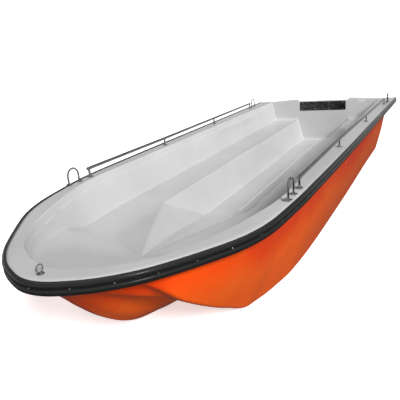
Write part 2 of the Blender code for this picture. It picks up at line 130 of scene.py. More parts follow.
# Liner forms: wall slope, benches, footwell, drain channel and bow dish
WALL_RUN = 0.055
WELL_START = 0.800
WELL_CORNER = (0.345, 1.580)
WELL_FOOT = (0.275, 2.090)
DISH_SLOPE = 0.26
DISH_HOLLOW = 0.12
DISH_RUN = 0.25
FOLD_RAKE = 0.43
FOLD_CRISPNESS = 0.010
FOLD_FADE = 0.14
LIP_RADIUS = 0.008
LIP_FILLET = 0.016
LEDGE_DROP = 0.052
LEDGE_WIDTH = 0.0022
WALL_FILLET = 0.030
BOW_FILLET = 0.055
BOW_FILLET_STATIONS = (0.60, 1.10)
EDGE_FILLET = 0.010
SOLE_FILLET = 0.035
FACET_FILLET = 0.006
FACET_FADE = 0.25
RAMP_FILLET = 0.018
TRANSOM_FILLET = 0.040
CHANNEL_HALF = 0.045
CHANNEL_DEPTH = 0.012
CHANNEL_EDGE = 0.010
CHANNEL_STATIONS = (2.26, 5.16)

# The liner's mesh: rows that fan around the bow, then rows across, close wherever it bends
FAN_END = 1.05
FAN_ROWS = 130
FAN_CENTRE = 0.45
FAN_CROWDING = 1.2
WELL_ROWS = (1.06, 2.22, 0.0135)
SOLE_ROWS_START = 2.225
SOLE_ROW_PITCH = 0.05
CHANNEL_ROW_GAP = 0.02
CHANNEL_ROW_LEADS = (0.004, 0.012)
CHANNEL_ROW_SPAN = 0.022
CHANNEL_ROW_PITCH = 0.003
TRANSOM_ROWS_RUN = 0.05
TRANSOM_ROWS = 14
# From the rim to the centreline: share at the start and at the end, and columns between
COLUMN_BANDS = (
    (0.0, 0.125, 40), (0.125, 0.48, 12), (0.48, 0.64, 26),
    (0.64, 0.92, 24), (0.92, 0.958, 12), (0.958, 1.0, 4),
)
TRANSOM_FACE_ROWS = 26
FLANGE_ROWS = 300
FLANGE_COLUMNS = 14
FLANGE_UNDERLAP = 0.030

# Transom top: the notch for the motor and the shoulders beside it
NOTCH_HALF = 0.330
NOTCH_STATION = 5.309
NOTCH_EDGE = 0.002
NOTCH_COLUMNS = (-0.002, 0.0, 0.004, 0.010, 0.030)
SHOULDER_INNER_X = 0.350
SHOULDER_OUTER_X = 0.733
SHOULDER_RISE = 0.0225
CAP_ROUND = 0.008
CAP_EDGE_POINTS = 6
CAP_SIDE_COLUMNS = 12
CHEEK_COLUMNS = 4

# Motor plates on both faces of the transom, and the blank label beside the inner one
PLATE_HALF = 0.310
PLATE_HEIGHT = 0.120
PLATE_THICKNESS = 0.004
PLATE_TOP_DROP = 0.010
PLATE_CORNER = 0.010
PLATE_EDGE = 0.0010
PLATE_BOLT_X = (-0.27, -0.09, 0.09, 0.27)
PLATE_BOLT_UP = (-0.042, 0.042)
PLATE_BOLT_RADIUS = 0.0062
PLATE_BOLT_SINK = 0.0002
LABEL_HALF_SIZE = (0.050, 0.022)
LABEL_CORNER = 0.004
LABEL_THICKNESS = 0.0006
LABEL_EDGE = 0.0002
LABEL_X = 0.505
LABEL_Z = 0.655
LABEL_BED = 0.0001

# Rub rail profile: reach outward from the flange's edge, and height over its top
RAIL_PROFILE = (
    (-0.0040, 0.0002), (0.0020, 0.0010), (0.0080, 0.0002), (0.0130, -0.0030), (0.0164, -0.0085),
    (0.0178, -0.0145), (0.0172, -0.0200), (0.0150, -0.0240), (0.0126, -0.0258), (0.0108, -0.0270),
    (0.0104, -0.0292), (0.0108, -0.0315), (0.0126, -0.0327), (0.0150, -0.0345), (0.0172, -0.0385),
    (0.0178, -0.0440), (0.0166, -0.0505), (0.0134, -0.0560), (0.0080, -0.0600), (0.0010, -0.0616),
    (-0.0088, -0.0618), (-0.0088, -0.0548), (0.0003, -0.0544), (0.0003, -0.0058), (-0.0040, -0.0056),
)
RAIL_GROOVE = (0.0104, -0.0292)
RAIL_SCREW_PITCH = 0.175
RAIL_SCREW_RADIUS = 0.0046
RAIL_SCREW_SINK = 0.0004
RAIL_END_MARGIN = 0.05

# Stainless fittings
POST_SEATS = ((1.310, 0.750), (2.363, 0.768), (3.489, 0.805), (4.689, 0.841))
LIFTING_SEATS = (("bow", 1.148, 0.750), ("stern", 4.871, 0.862))
HANDRAIL_Z = 0.060
HANDRAIL_RADIUS = 0.0115
HANDRAIL_END = 0.020
HANDRAIL_DOME = 0.006
HANDRAIL_POINTS = 60
POST_RADIUS = 0.0085
POST_FLANGE_RADIUS = 0.022
POST_SCREW_CIRCLE = 0.0165
POST_SCREW_ANGLES = (90.0, 210.6, 329.4)
POST_SCREW_Z = 0.0036
POST_SCREW_RADIUS = 0.0026
LIFTING_SPACING = 0.100
LIFTING_TOP = 0.108
LIFTING_RADIUS = 0.0063
LIFTING_LEG_STEPS = (0.0, 0.01, 0.02)
LIFTING_LEG_END = 0.004
LIFTING_ARCH_POINTS = 33
FOOT_WIDTH = 0.046
FOOT_LENGTH = 0.020
FOOT_HEIGHT = 0.004
FOOT_CORNER = 0.0085
FOOT_EDGE = 0.0012
FOOT_SCREW_X = 0.0165
FOOT_SCREW_RADIUS = 0.0032
FOOT_SCREW_SINK = 0.0003
BOW_EYE_STATION = 0.108
BOW_EYE_MAJOR = 0.017
BOW_EYE_MINOR = 0.0035
BOW_EYE_RING_POINTS = 49
BOW_EYE_BAR_SIDES = 16
BOW_EYE_PLATE_RADIUS = 0.017
BOW_EYE_PLATE_HEIGHT = 0.0040
BOW_EYE_SCREW_X = 0.0115
BOW_EYE_SCREW_Z = 0.0037
BOW_EYE_SCREW_RADIUS = 0.0030

# Turned profiles, as a radius and a height above the seat
SCREW_PROFILE = (
    (1.00, 0.00), (1.00, 0.20), (0.94, 0.42), (0.76, 0.62),
    (0.50, 0.72), (0.42, 0.70), (0.38, 0.22), (0.00, 0.20),
)
HANDRAIL_COLLAR = (
    (POST_RADIUS + 0.0022, -0.0010), (POST_RADIUS + 0.0016, 0.0012), (POST_RADIUS, 0.0040), (0.0, 0.0060),
)
POST_TOP = HANDRAIL_Z - HANDRAIL_RADIUS - 3 * GAP
POST_PROFILE = (
    (0.0, 0.0), (POST_FLANGE_RADIUS, 0.0), (POST_FLANGE_RADIUS, 0.0024),
    (POST_FLANGE_RADIUS - 0.0010, 0.0036), (POST_FLANGE_RADIUS - 0.0022, 0.0040),
    (0.0132, 0.0042), (0.0116, 0.0054), (0.0100, 0.0090), (0.0090, 0.0140), (POST_RADIUS, 0.0190),
    (POST_RADIUS, POST_TOP - 0.0012), (POST_RADIUS - 0.0012, POST_TOP), (0.0, POST_TOP),
)
LIFTING_COLLAR = (
    (0.0, 0.0), (0.0092, 0.0), (0.0092, 0.0030), (0.0084, 0.0042),
    (0.0070, 0.0048), (LIFTING_RADIUS + 0.0002, 0.0062), (0.0, 0.0062),
)
BOW_EYE_PLATE_PROFILE = (
    (0.0, 0.0), (BOW_EYE_PLATE_RADIUS, 0.0), (BOW_EYE_PLATE_RADIUS, 0.0022),
    (BOW_EYE_PLATE_RADIUS - 0.0014, 0.0036), (BOW_EYE_PLATE_RADIUS - 0.0030, BOW_EYE_PLATE_HEIGHT),
    (0.0, BOW_EYE_PLATE_HEIGHT),
)
BOW_EYE_FOOT = (
    (0.0, 0.0), (0.0075, 0.0), (0.0062, 0.0010), (0.0044, 0.0024), (0.0036, 0.0040), (0.0, 0.0040),
)

# Painted bounce light from the floor on the gelcoat: what the lighter second colour gains low down and loses
# above as painted shade, and the fade
PAINTED_BOUNCE_GAIN = 0.7
PAINTED_BOUNCE_LOSS = 0.3
PAINTED_BOUNCE_FADE = 0.25

# Camera, worked out from the gunwale, handrails and transom in the photo
CAMERA_PLACE = (1.401, -3.7095, 1.432)
CAMERA_YAW, CAMERA_PITCH, CAMERA_ROLL = 28.78, 18.04, -5.41
CAMERA_LENS = 40.12
CAMERA_SENSOR = 36.0
CAMERA_CLIP = (0.05, 100.0)

# Floor and light. A sun's spread is its angle in the sky in degrees.
FLOOR_HALF = 30.0
FLOOR_Z = -0.001
FLOOR_GLOW = 0.60
LIGHT_DISTANCE = 6.0
KEY_DIRECTION = (0.66, -0.46, 0.59)
KEY_STRENGTH = 4.75
KEY_SPREAD = 18.0
GLINT_STRENGTH = 0.32
GLINT_SPREAD = 8.0
FILL_DIRECTION = (-0.86, 0.46, 0.13)
FILL_STRENGTH = 1.6
FILL_SPREAD = 30.0
# Bands of the studio from straight down, 0, to straight up, 1: place, red and green, blue
STUDIO_LIGHT = (
    (0.0, 0.34, 0.34), (0.44, 0.34, 0.34), (0.47, 1.15, 1.15), (0.585, 1.15, 1.15),
    (0.62, 0.12, 0.125), (0.78, 0.10, 0.105), (0.90, 0.17, 0.175), (1.0, 0.20, 0.205),
)
STUDIO_MIRROR = (
    (0.0, 0.05, 0.05), (0.45, 0.05, 0.05), (0.48, 0.48, 0.48), (0.585, 0.48, 0.48),
    (0.62, 0.14, 0.15), (0.78, 0.16, 0.17), (0.90, 0.40, 0.41), (1.0, 0.50, 0.51),
)


def world_y(station):
    """Where a station lies along the frame's Y axis."""
    return station - FOREMOST_STATION - LENGTH / 2


def faired(points):
    """A smooth function through the points, for arrays, that never swings past them."""
    xs = np.array([point[0] for point in points])
    ys = np.array([point[1] for point in points])
    slopes = np.diff(ys) / np.diff(xs)
    tangents = np.zeros(len(xs))
    tangents[0], tangents[-1] = slopes[0], slopes[-1]
    product = slopes[:-1] * slopes[1:]
    total = np.where(product > 0, slopes[:-1] + slopes[1:], 1.0)
    tangents[1:-1] = np.where(product > 0, 2 * product / total, 0.0)

    def value(x):
        x = np.clip(x, xs[0], xs[-1])
        i = np.clip(np.searchsorted(xs, x, side="right") - 1, 0, len(xs) - 2)
        width = xs[i + 1] - xs[i]
        t = (x - xs[i]) / width
        return (
            ys[i] * (1 + 2 * t) * (1 - t) ** 2 + ys[i + 1] * t * t * (3 - 2 * t)
            + width * tangents[i] * t * (1 - t) ** 2
            - width * tangents[i + 1] * t * t * (1 - t)
        )

    return value


def plan_curve(points, steps):
    """Points along a smooth plan curve through (station, half-breadth) points."""
    points = [np.array(point) for point in points]
    ends = [points[1] * (1, -1)] + points + [2 * points[-1] - points[-2]]
    curve = []
    for p0, p1, p2, p3 in zip(ends, ends[1:], ends[2:], ends[3:]):
        chord = np.linalg.norm(p2 - p1)
        entry = (p2 - p0) * chord / (np.linalg.norm(p1 - p0) + chord)
        leave = (p3 - p1) * chord / (np.linalg.norm(p3 - p2) + chord)
        for step in range(steps):
            t = step / steps
            curve.append(
                (1 + 2 * t) * (1 - t) ** 2 * p1 + t * (1 - t) ** 2 * entry
                + t * t * (3 - 2 * t) * p2 - t * t * (1 - t) * leave
            )
    curve.append(points[-1])
    return np.array(curve)


OUTER_CURVE = plan_curve(FLANGE_OUTER, steps=20)
INNER_CURVE = plan_curve(FLANGE_INNER, steps=24)
keel_z = faired(KEEL_Z)
sponson_z = faired(SPONSON_Z)
tunnel_z = faired(TUNNEL_Z)
lobe_x = faired(LOBE_X)
tunnel_inner_x = faired(TUNNEL_INNER_X)
tunnel_outer_x = faired(TUNNEL_OUTER_X)
sponson_x = faired(SPONSON_X)
chine_x = faired(CHINE_X)
overhang = faired(OVERHANG)
# Each half-breadth line, with the share of the side's that it stays within near the stem
SECTION_LINES = (
    (lobe_x, 0.20), (tunnel_inner_x, 0.50), (tunnel_outer_x, 0.66), (sponson_x, 0.78), (chine_x, 0.92),
)


def curve_length(curve):
    """The length travelled along a curve up to each of its points."""
    return np.concatenate([[0.0], np.cumsum(np.linalg.norm(np.diff(curve, axis=0), axis=1))])


def point_along(curve, length, travel):
    """The point or points of a curve where so much of its length has been travelled."""
    return np.stack([np.interp(travel, length, curve[:, k]) for k in (0, 1)], axis=-1)


def quarter_turn(points):
    """Angles that share out a quarter turn, without the first."""
    return np.linspace(0.0, math.pi / 2, points)[1:]


def outer_x(station):
    return np.interp(station, OUTER_CURVE[:, 0], OUTER_CURVE[:, 1])


def inner_x(station):
    return np.interp(station, INNER_CURVE[:, 0], INNER_CURVE[:, 1])


def smoothstep(t):
    t = np.clip(t, 0.0, 1.0)
    return t * t * (3 - 2 * t)


def deck_z(station):
    start, end = BOW_DIP_STATIONS
    return GUNWALE_Z - BOW_DIP * smoothstep((end - station) / (end - start))


def soft_max(a, b, radius):
    """The greater of two heights with a fillet where they cross."""
    blend = np.clip(0.5 + 0.5 * (a - b) / radius, 0.0, 1.0)
    return b + (a - b) * blend + radius * blend * (1 - blend)


def soft_min(a, b, radius):
    return -soft_max(-a, -b, radius)


def link(obj):
    bpy.context.scene.collection.objects.link(obj)
    return obj


def grid_faces(rows, columns, closed=False):
    faces = []
    for i in range(rows - 1):
        for j in range(columns if closed else columns - 1):
            k = (j + 1) % columns
            faces.append((i * columns + j, i * columns + k, (i + 1) * columns + k, (i + 1) * columns + j))
    return faces


def axes_for(axis):
    """A rotation, as rows for row vectors, that turns +Z to the axis."""
    return np.array(Vector(axis).to_track_quat("Z", "Y").to_matrix()).T


class Shape:
    """The points and faces of one piece, gathered from simple forms."""

    def __init__(self):
        self.points = []
        self.faces = []

    def mesh(self, points, faces):
        base = len(self.points)
        self.points += [tuple(float(v) for v in point) for point in points]
        self.faces += [tuple(base + k for k in face) for face in faces]

    def grid(self, rows, closed=False, caps=False):
        columns = len(rows[0])
        faces = grid_faces(len(rows), columns, closed)
        if caps:
            last = (len(rows) - 1) * columns
            faces.append(tuple(range(columns))[::-1])
            faces.append(tuple(range(last, last + columns)))
        self.mesh([point for row in rows for point in row], faces)

    def lathe(self, profile, place, axis=(0, 0, 1), segments=24):
        """Turns (radius, height) points about an axis through the place."""
        turn = axes_for(axis)
        angles = np.linspace(0.0, 2 * math.pi, segments, endpoint=False)
        rows = []
        for radius, height in profile:
            ring = np.stack([radius * np.cos(angles), radius * np.sin(angles), np.full(segments, height)], 1)
            rows.append(ring @ turn + np.array(place))
        self.grid(rows, closed=True, caps=True)

    def tube(self, path, radii, segments=20):
        """A round bar along a path, with a radius for each point."""
        path = np.array(path, float)
        tangent = np.gradient(path, axis=0)
        tangent /= np.linalg.norm(tangent, axis=1)[:, None]
        side = np.cross(tangent[0], SLANT)
        angles = np.linspace(0.0, 2 * math.pi, segments, endpoint=False)
        rows = []
        for point, along, radius in zip(path, tangent, radii):
            side = side - along * side.dot(along)
            side /= np.linalg.norm(side)
            up = np.cross(along, side)
            rows.append(point + radius * (np.outer(np.cos(angles), side) + np.outer(np.sin(angles), up)))
        self.grid(rows, closed=True, caps=True)

    def plate(self, half_width, half_height, corner, thickness, edge, place, axis=(0, 0, 1)):
        """A flat plate with round corners and a rounded upper edge, standing on the place."""
        steps = [(0.0, 0.0), (thickness - edge, 0.0)]
        steps += [
            (thickness - edge * (1 - math.sin(turn)), edge * (1 - math.cos(turn)))
            for turn in quarter_turn(5)
        ]
        turn = axes_for(axis)
        rows = []
        for height, inset in steps:
            ring = []
            for index, (sx, sy) in enumerate(((1, 1), (-1, 1), (-1, -1), (1, -1))):
                centre = (sx * (half_width - corner), sy * (half_height - corner))
                for angle in np.linspace(index * math.pi / 2, (index + 1) * math.pi / 2, 7):
                    out = (corner - inset) * math.cos(angle)
                    up = (corner - inset) * math.sin(angle)
                    ring.append((centre[0] + out, centre[1] + up, height))
            rows.append(np.array(ring) @ turn + np.array(place))
        self.grid(rows, closed=True, caps=True)

    def screw(self, place, axis, radius):
        """A domed screw head with a round socket."""
        self.lathe([(out * radius, up * radius) for out, up in SCREW_PROFILE], place, axis, segments=16)

    def made(self, name, crease=32.0, distance=0.00002):
        """The object itself: welded, with its faces out, smooth apart from its sharp edges."""
        mesh = bpy.data.meshes.new(name)
        mesh.from_pydata(self.points, [], self.faces)
        bm = bmesh.new()
        bm.from_mesh(mesh)
        bmesh.ops.remove_doubles(bm, verts=bm.verts, dist=distance)
        bmesh.ops.recalc_face_normals(bm, faces=bm.faces)
        limit = math.radians(crease)
        for edge in bm.edges:
            edge.smooth = edge.is_manifold and edge.calc_face_angle(0.0) < limit
        bm.to_mesh(mesh)
        bm.free()
        mesh.shade_smooth()
        return link(bpy.data.objects.new(name, mesh))


def finished(obj, mat, slot, *nodes):
    """The piece gets its material, stands for its nodes and rides on the boat."""
    obj.data.materials.clear()
    obj.data.materials.append(mat)
    if nodes:
        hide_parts(*nodes)
    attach(obj, ROOT)


# Materials


class Nodes:
    """A small helper that builds one procedural material."""

    def __init__(self, name):
        self.material = bpy.data.materials.new(name)
        self.material.use_nodes = True
        self.tree = self.material.node_tree
        self.shader = self.tree.nodes["Principled BSDF"]
        self.place = self.tree.nodes.new("ShaderNodeTexCoord").outputs["Object"]

    def add(self, kind, **values):
        node = self.tree.nodes.new(kind)
        for key, value in values.items():
            setattr(node, key, value)
        return node

    def join(self, source, target):
        self.tree.links.new(source, target)

    def set(self, **values):
        for key, value in values.items():
            self.shader.inputs[key.replace("_", " ").title()].default_value = value

    def noise(self, size, detail=3.0, roughness=0.5, stretch=(1.0, 1.0, 1.0)):
        """Noise with features about size metres across, stretched where stretch is over 1."""
        mapping = self.add("ShaderNodeMapping")
        mapping.inputs["Scale"].default_value = [1.0 / (size * s) for s in stretch]
        self.join(self.place, mapping.inputs["Vector"])
        node = self.add("ShaderNodeTexNoise")
        node.inputs["Scale"].default_value = 1.0
        node.inputs["Detail"].default_value = detail
        node.inputs["Roughness"].default_value = roughness
        self.join(mapping.outputs["Vector"], node.inputs["Vector"])
        return node.outputs["Fac"]

    def ramp(self, value, low, high):
        """Maps a value between two positions, given as (position, output)."""
        node = self.add("ShaderNodeMapRange")
        node.inputs["From Min"].default_value = low[0]
        node.inputs["From Max"].default_value = high[0]
        node.inputs["To Min"].default_value = low[1]
        node.inputs["To Max"].default_value = high[1]
        self.join(value, node.inputs["Value"])
        return node.outputs["Result"]

    def mix(self, factor, a, b):
        node = self.add("ShaderNodeMix", data_type="RGBA")
        self.join(factor, node.inputs["Factor"])
        for socket, value in ((node.inputs[MIX_A], a), (node.inputs[MIX_B], b)):
            if isinstance(value, tuple):
                socket.default_value = (*value, 1.0)
            else:
                self.join(value, socket)
        return node.outputs[MIX_RESULT]

    def bump(self, height, strength, distance, before=None):
        node = self.add("ShaderNodeBump")
        node.inputs["Strength"].default_value = strength
        node.inputs["Distance"].default_value = distance
        self.join(height, node.inputs["Height"])
        if before is not None:
            self.join(before, node.inputs["Normal"])
        return node.outputs["Normal"]


def gelcoat(name, colour, patch_colour, roughness, ripple, coat, painted_bounce_below=None):
    """Polished gelcoat with clouds of a second colour; below a height, if one is given, more of it as painted
    bounce light and above it less as painted shade; with scuffs, a fine peel and the laminate showing
    through."""
    n = Nodes(name)
    cloud = n.ramp(n.noise(0.55, detail=4.0), (0.35, 0.0), (0.70, 1.0))
    # Painted light: the lighter second colour rises towards the bottom for the floor's bounce and falls
    # higher up as painted shade
    if painted_bounce_below is not None:
        split = n.add("ShaderNodeSeparateXYZ")
        n.join(n.place, split.inputs["Vector"])
        total = n.add("ShaderNodeMath", operation="ADD", use_clamp=True)
        low, high = (painted_bounce_below - PAINTED_BOUNCE_FADE, PAINTED_BOUNCE_GAIN), (painted_bounce_below, -PAINTED_BOUNCE_LOSS)
        n.join(n.ramp(split.outputs["Z"], low, high), total.inputs[0])
        n.join(cloud, total.inputs[1])
        cloud = total.outputs[0]
    n.join(n.mix(cloud, colour, patch_colour), n.shader.inputs["Base Color"])
    scuff = n.ramp(n.noise(0.035, detail=6.0, roughness=0.7), (0.45, roughness), (0.85, roughness + 0.12))
    n.join(scuff, n.shader.inputs["Roughness"])
    print_through = n.bump(n.noise(0.16, detail=1.0), ripple, 0.004)
    peel = n.bump(n.noise(0.0035, detail=2.0), 0.04, 0.00012, print_through)
    n.join(peel, n.shader.inputs["Normal"])
    n.set(coat_weight=coat, coat_roughness=0.04)
    n.shader.inputs["Specular IOR Level"].default_value = 0.35
    return n.material


def rubber(name):
    n = Nodes(name)
    dust = n.ramp(n.noise(0.02, detail=6.0, roughness=0.75), (0.55, 0.0), (0.85, 1.0))
    n.join(n.mix(dust, (0.009, 0.010, 0.009), (0.022, 0.022, 0.021)), n.shader.inputs["Base Color"])
    n.join(n.ramp(n.noise(0.05, detail=5.0), (0.3, 0.13), (0.8, 0.30)), n.shader.inputs["Roughness"])
    n.join(n.bump(n.noise(0.0025, detail=3.0), 0.10, 0.0005), n.shader.inputs["Normal"])
    n.set(coat_weight=0.4, coat_roughness=0.18)
    return n.material


def steel(name, dark, light, roughness, scratch, wave):
    """Polished stainless steel with faint clouds, fine scratches and a slight waviness."""
    n = Nodes(name)
    cloud = n.ramp(n.noise(0.03, detail=4.0), (0.3, 0.0), (0.7, 1.0))
    n.join(n.mix(cloud, dark, light), n.shader.inputs["Base Color"])
    lines = n.noise(0.004, detail=4.0, roughness=0.7, stretch=scratch)
    n.join(n.ramp(lines, (0.3, roughness), (0.8, roughness + 0.12)), n.shader.inputs["Roughness"])
    hollow = n.bump(n.noise(0.05, detail=1.0), wave, 0.004)
    n.join(n.bump(lines, 0.05, 0.0003, hollow), n.shader.inputs["Normal"])
    n.set(metallic=1.0)
    return n.material


# The orange's lighter, yellower tone low on the hull is painted bounce light, and its redder tone higher up
# is painted shade
ORANGE = gelcoat(
    "orange_gelcoat_moulded", colour=(0.73, 0.050, 0.003), patch_colour=(0.80, 0.108, 0.008),
    roughness=0.16, ripple=0.05, coat=0.10, painted_bounce_below=0.50,
)
WHITE = gelcoat(
    "white_gelcoat_moulded", colour=(0.51, 0.503, 0.508), patch_colour=(0.465, 0.458, 0.462),
    roughness=0.20, ripple=0.03, coat=0.3,
)
LABEL = gelcoat(
    "blank_label_film", colour=(0.56, 0.56, 0.58), patch_colour=(0.50, 0.50, 0.52),
    roughness=0.30, ripple=0.02, coat=0.2,
)
RUBBER = rubber("black_rubber_extruded")
POLISHED = steel(
    "stainless_polished_tube", dark=(0.38, 0.375, 0.37), light=(0.58, 0.565, 0.55),
    roughness=0.09, scratch=(1.0, 6.0, 1.0), wave=0.02,
)
# The plate's base colour is painted near black: painted shade standing in for the dark surroundings that it
# reflects
PLATE_STEEL = steel(
    "stainless_plate_painted_dark_reflection", dark=(0.022, 0.023, 0.022), light=(0.11, 0.11, 0.105),
    roughness=0.07, scratch=(8.0, 1.0, 1.0), wave=0.35,
)
SCREW_STEEL = steel(
    "stainless_screw", dark=(0.60, 0.60, 0.60), light=(0.80, 0.80, 0.79),
    roughness=0.18, scratch=(1.0, 1.0, 1.0), wave=0.0,
)


# Hull


def rounded_section(corners, radii, samples):
    """Points along a section polyline whose corners are rounded, the same count each time."""
    path = [np.array(corners[0])]
    for before, corner, after, radius in zip(corners, corners[1:], corners[2:], radii[1:-1]):
        before, corner, after = map(np.array, (before, corner, after))
        into, out = before - corner, after - corner
        before_length, after_length = np.linalg.norm(into), np.linalg.norm(out)
        reach = min(radius, CORNER_LIMIT * before_length, CORNER_LIMIT * after_length)
        start = corner + into / max(before_length, TINY) * reach
        end = corner + out / max(after_length, TINY) * reach
        for t in np.linspace(0.0, 1.0, samples):
            path.append((1 - t) ** 2 * start + 2 * t * (1 - t) * corner + t * t * end)
    path.append(np.array(corners[-1]))
    return path


def hull_section(station, shrink):
    """Half of the hull's section, from the keel to the flange's top, inset by shrink."""
    breadth = float(outer_x(station))
    side = max(breadth - float(overhang(station)), LEAST_SIDE_SHARE * breadth)
    flange_top = float(deck_z(station)) - LINER_FLANGE - GAP
    top = flange_top - HULL_FLANGE
    # Ahead of the stem nothing hangs below the flange
    ahead = station < STEM_START
    lip = STEM_LIP if ahead else HULL_LIP
    limit = top - lip
    keel = limit - lip / 2 if ahead else min(float(keel_z(station)), limit - lip)
    sponson = limit if ahead else min(float(sponson_z(station)), limit)
    roof = min(max(float(tunnel_z(station)), keel + lip / 2), limit)
    lobe, tunnel_in, tunnel_out, inner, chine = (
        min(float(line(station)), share * side) for line, share in SECTION_LINES
    )
    flange_inner = min(float(inner_x(station)) + FLANGE_REACH, breadth * FLANGE_REACH_LIMIT)
    corners = [
        (0.0, keel + shrink), (lobe, keel + shrink),
        ((lobe + tunnel_in) / 2, keel + LOBE_SHOULDER * (roof - keel) + shrink),
        (tunnel_in, roof + shrink), (tunnel_out, roof + shrink),
        (inner, sponson + SPONSON_TILT + shrink), (chine - shrink, sponson + shrink),
        (chine + KNUCKLE_OUT * (side - chine) - shrink, sponson + KNUCKLE_UP * (top - sponson)),
        (side - shrink, top), (breadth - shrink, top), (breadth - shrink, flange_top),
        (flange_inner, flange_top),
    ]
    return rounded_section(corners, SECTION_RADII, CORNER_POINTS)


def stern_lip():
    """Outline of the flange's lip past the transom's face, as stations and heights."""
    top = GUNWALE_Z - LINER_FLANGE - GAP
    bottom = top - HULL_FLANGE
    bed = TRANSOM_OUTER - STERN_LIP_BED
    return (
        (bed, bottom + 1.5 * STERN_LIP_BED), (TRANSOM_OUTER, bottom + STERN_LIP_BED),
        (FLANGE_END - STERN_LIP_ROUND, bottom), (FLANGE_END, bottom + STERN_LIP_ROUND),
        (FLANGE_END, top - STERN_LIP_ROUND), (FLANGE_END - STERN_LIP_ROUND, top), (bed, top),
    )


def make_hull():
    shares = np.linspace(0.0, 1.0, HULL_BOW_ROWS) ** HULL_BOW_CROWDING
    bow = shares * HULL_BOW_RUN + HULL_BOW_STATION
    aft = np.linspace(HULL_AFT_START, TRANSOM_OUTER - TRANSOM_ROUND_START, HULL_AFT_ROWS)
    sections = [(station, 0.0) for station in np.concatenate([bow, aft])]
    for turn in quarter_turn(7):
        station = TRANSOM_OUTER - TRANSOM_ROUND + TRANSOM_ROUND * math.sin(turn)
        sections.append((station, TRANSOM_ROUND * (1 - math.cos(turn))))
    rows = []
    for station, shrink in sections:
        half = hull_section(station, shrink)
        y = world_y(station)
        row = [(x, y, z) for x, z in reversed(half)]
        row += [(-x, y, z) for x, z in half[1:]]
        rows.append(row)
    shape = Shape()
    shape.grid(rows, caps=True)
    # The flange's lip carries on past the transom's face, apart from the motor notch
    ends = (NOTCH_HALF, float(outer_x(FLANGE_END)) - STERN_LIP_SIDE_GAP)
    for side in (1, -1):
        bars = [[(side * x, world_y(s), z) for s, z in stern_lip()] for x in ends]
        shape.grid(bars, closed=True, caps=True)
    finished(shape.made("hull_shell"), ORANGE, "orange_gelcoat", "hull")


# Liner


def rim_distance(x, station):
    """How far inside the liner's inner flange edge each point lies, in plan."""
    start, end = INNER_CURVE[:-1], INNER_CURVE[1:]
    step = end - start
    best = np.full(x.shape, np.inf)
    for (s0, b0), (ds, db) in zip(start, step):
        t = np.clip(((station - s0) * ds + (x - b0) * db) / (ds ** 2 + db ** 2), 0.0, 1.0)
        best = np.minimum(best, np.hypot(station - s0 - t * ds, x - b0 - t * db))
    return best


def plane_through(a, b, c):
    """The function z(x, station) of the plane through three (x, station, z) points."""
    normal = np.cross(np.subtract(b, a), np.subtract(c, a))
    return lambda x, s: a[2] - (normal[0] * (x - a[0]) + normal[1] * (s - a[1])) / normal[2]


def wall_depth(distance):
    """The side wall's height below the deck: a rounded lip, then a slope with a narrow ledge."""
    slope = BENCH_DROP / WALL_RUN
    ledge = LIP_RADIUS + LEDGE_DROP / slope
    run = distance - LIP_RADIUS - np.clip(distance - ledge, 0.0, LEDGE_WIDTH)
    # The fillet alone would sink the lip by a quarter of its radius
    lift = LIP_FILLET / 4 * np.exp(-((distance - LIP_RADIUS) * slope / LIP_FILLET) ** 2)
    return soft_min(np.zeros_like(distance), -slope * run, LIP_FILLET) + lift


def cockpit_z(x, station, distance):
    """The liner's height below the deck at each inside point; x is positive to port."""
    bench, sole = -BENCH_DROP, -SOLE_DROP
    apex = (0.0, WELL_START, bench)
    corner = (*WELL_CORNER, bench)
    foot = (*WELL_FOOT, sole)
    ramp = bench + (sole - bench) * (station - WELL_START) / (WELL_FOOT[1] - WELL_START)
    facet = plane_through(apex, corner, foot)(x, station)
    inboard = plane_through(corner, foot, (foot[0], TRANSOM_INNER, sole))(x, station)
    start, end = CHANNEL_STATIONS
    channel = smoothstep((CHANNEL_HALF - x) / CHANNEL_EDGE) * smoothstep((station - start) / CHANNEL_EDGE)
    channel *= smoothstep((end - station) / CHANNEL_EDGE)
    well = soft_max(ramp, sole - CHANNEL_DEPTH * channel, RAMP_FILLET)
    side = soft_max(facet, inboard, FACET_FILLET)
    near_facet = smoothstep((WELL_FOOT[1] + FACET_FADE - station) / FACET_FADE)
    well = soft_max(well, side, SOLE_FILLET + (FACET_FILLET - SOLE_FILLET) * near_facet)
    # The bow dish rises ahead of two folds that run outward and aft from the well's apex
    ahead = WELL_START + FOLD_RAKE * x - station
    forward = soft_max(ahead, np.zeros_like(x), FOLD_CRISPNESS + FOLD_FADE * x)
    hollow = DISH_HOLLOW * x ** 2 * smoothstep(forward / DISH_RUN)
    floor = soft_min(bench + DISH_SLOPE * forward + hollow, well, EDGE_FILLET)
    start, end = BOW_FILLET_STATIONS
    bowness = smoothstep((end - station) / (end - start))
    return soft_max(floor, wall_depth(distance), WALL_FILLET + (BOW_FILLET - WALL_FILLET) * bowness)


def shoulder_z(x):
    """How far the transom's top rises above the deck at a half-breadth."""
    rise = smoothstep((x - NOTCH_HALF - NOTCH_EDGE) / (SHOULDER_INNER_X - NOTCH_HALF))
    fall = np.clip((SHOULDER_OUTER_X - x) / (SHOULDER_OUTER_X - SHOULDER_INNER_X), 0.0, 1.0)
    return SHOULDER_RISE * rise * fall


